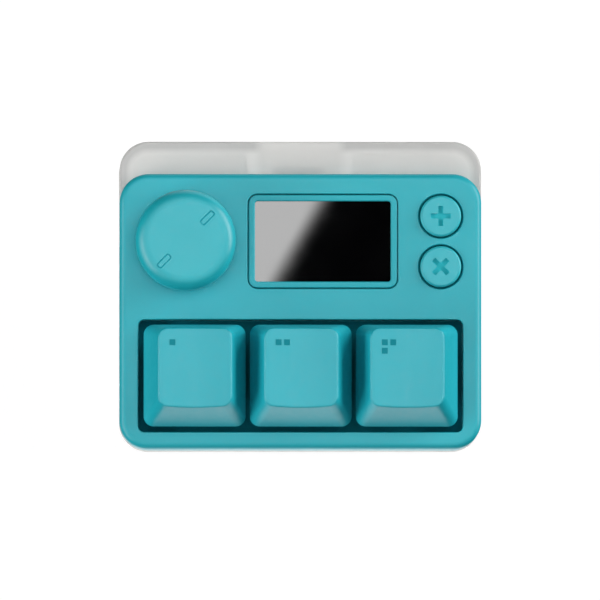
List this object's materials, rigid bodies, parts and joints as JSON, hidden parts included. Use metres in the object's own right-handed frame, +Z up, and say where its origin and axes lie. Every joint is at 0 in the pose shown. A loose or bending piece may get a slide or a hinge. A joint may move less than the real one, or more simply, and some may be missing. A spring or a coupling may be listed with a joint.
{
  "type": "mini keypad",
  "caption": "Desk keypad with a row of sprung keys, a push-and-turn knob, a framed display and round plus and cross buttons in a shell on a see-through base.",
  "frame": {"origin": "on the desk under the middle of the base", "axes": "+X to the user's right, +Y to the rear where the plug goes in, +Z up"},
  "size_m": [0.065, 0.0554, 0.0266],
  "materials": {
    "shell_teal": "fine satin moulding",
    "cap_teal": "fine satin moulding",
    "frosted_clear": "frosted, see-through",
    "dark_glass": "polished",
    "panel_black": "polished",
    "backlight_white": "smooth",
    "flex_amber": "smooth film",
    "socket_ivory": "smooth",
    "board_white": "solder mask",
    "chip_black": "moulded",
    "switch_black": "moulded",
    "stem_white": "moulded",
    "magnet_nickel": "plated",
    "spring_steel": "drawn wire",
    "steel": "plated",
    "shaft_metal": "turned",
    "brass": "turned",
    "rubber_grey": "matte"
  },
  "bodies": {
    "case": {"front_shell": "shell_teal", "base_shell": "frosted_clear", "rubber_feet": "rubber_grey", "case_screws": "steel", "brass_inserts": "brass", "main_board": "board_white", "board_chips": "chip_black", "hall_sensors": "chip_black", "usb_shell": "steel", "usb_tongue": "chip_black", "encoder_housing": "switch_black", "encoder_bracket": "steel", "display_bezel": "shell_teal", "display_glass": "dark_glass", "display_panel": "panel_black", "display_backlight": "backlight_white", "display_flex": "flex_amber", "flex_socket": "socket_ivory", "switch_base_1": "switch_black", "switch_cover_1": "switch_black", "switch_spring_1": "spring_steel", "switch_base_2": "switch_black", "switch_cover_2": "switch_black", "switch_spring_2": "spring_steel", "switch_base_3": "switch_black", "switch_cover_3": "switch_black", "switch_spring_3": "spring_steel", "plus_tact_body": "switch_black", "cross_tact_body": "switch_black"},
    "key_1": {"keycap_1": "cap_teal", "switch_stem_1": "stem_white", "switch_magnet_1": "magnet_nickel"},
    "key_2": {"keycap_2": "cap_teal", "switch_stem_2": "stem_white", "switch_magnet_2": "magnet_nickel"},
    "key_3": {"keycap_3": "cap_teal", "switch_stem_3": "stem_white", "switch_magnet_3": "magnet_nickel"},
    "plus_press": {"plus_button": "cap_teal", "plus_tact_plunger": "stem_white"},
    "cross_press": {"cross_button": "cap_teal", "cross_tact_plunger": "stem_white"},
    "knob_carrier": {"encoder_plunger": "stem_white"},
    "knob_turning": {"knob": "cap_teal", "encoder_shaft": "shaft_metal"}
  },
  "joints": [
    {"name": "key_1_press", "type": "slide", "parent": "case", "child": "key_1", "axis": [0, 0, -1], "range_m": [0, 0.004], "stiffness_N_per_m": 80, "springref_m": -0.00375, "deforming": ["switch_spring_1"]},
    {"name": "key_2_press", "type": "slide", "parent": "case", "child": "key_2", "axis": [0, 0, -1], "range_m": [0, 0.004], "stiffness_N_per_m": 80, "springref_m": -0.00375, "deforming": ["switch_spring_2"]},
    {"name": "key_3_press", "type": "slide", "parent": "case", "child": "key_3", "axis": [0, 0, -1], "range_m": [0, 0.004], "stiffness_N_per_m": 80, "springref_m": -0.00375, "deforming": ["switch_spring_3"]},
    {"name": "plus_button_press", "type": "slide", "parent": "case", "child": "plus_press", "axis": [0, 0, -1], "range_m": [0, 0.0004], "stiffness_N_per_m": 2500, "springref_m": -0.0004},
    {"name": "cross_button_press", "type": "slide", "parent": "case", "child": "cross_press", "axis": [0, 0, -1], "range_m": [0, 0.0004], "stiffness_N_per_m": 2500, "springref_m": -0.0004},
    {"name": "knob_press", "type": "slide", "parent": "case", "child": "knob_carrier", "axis": [0, 0, -1], "range_m": [0, 0.0005], "stiffness_N_per_m": 4000, "springref_m": -0.0006},
    {"name": "knob_turn", "type": "hinge", "parent": "knob_carrier", "child": "knob_turning", "pos_m": [-0.0207, 0.00965, 0.0182], "axis": [0, 0, -1], "continuous": true}
  ]
}
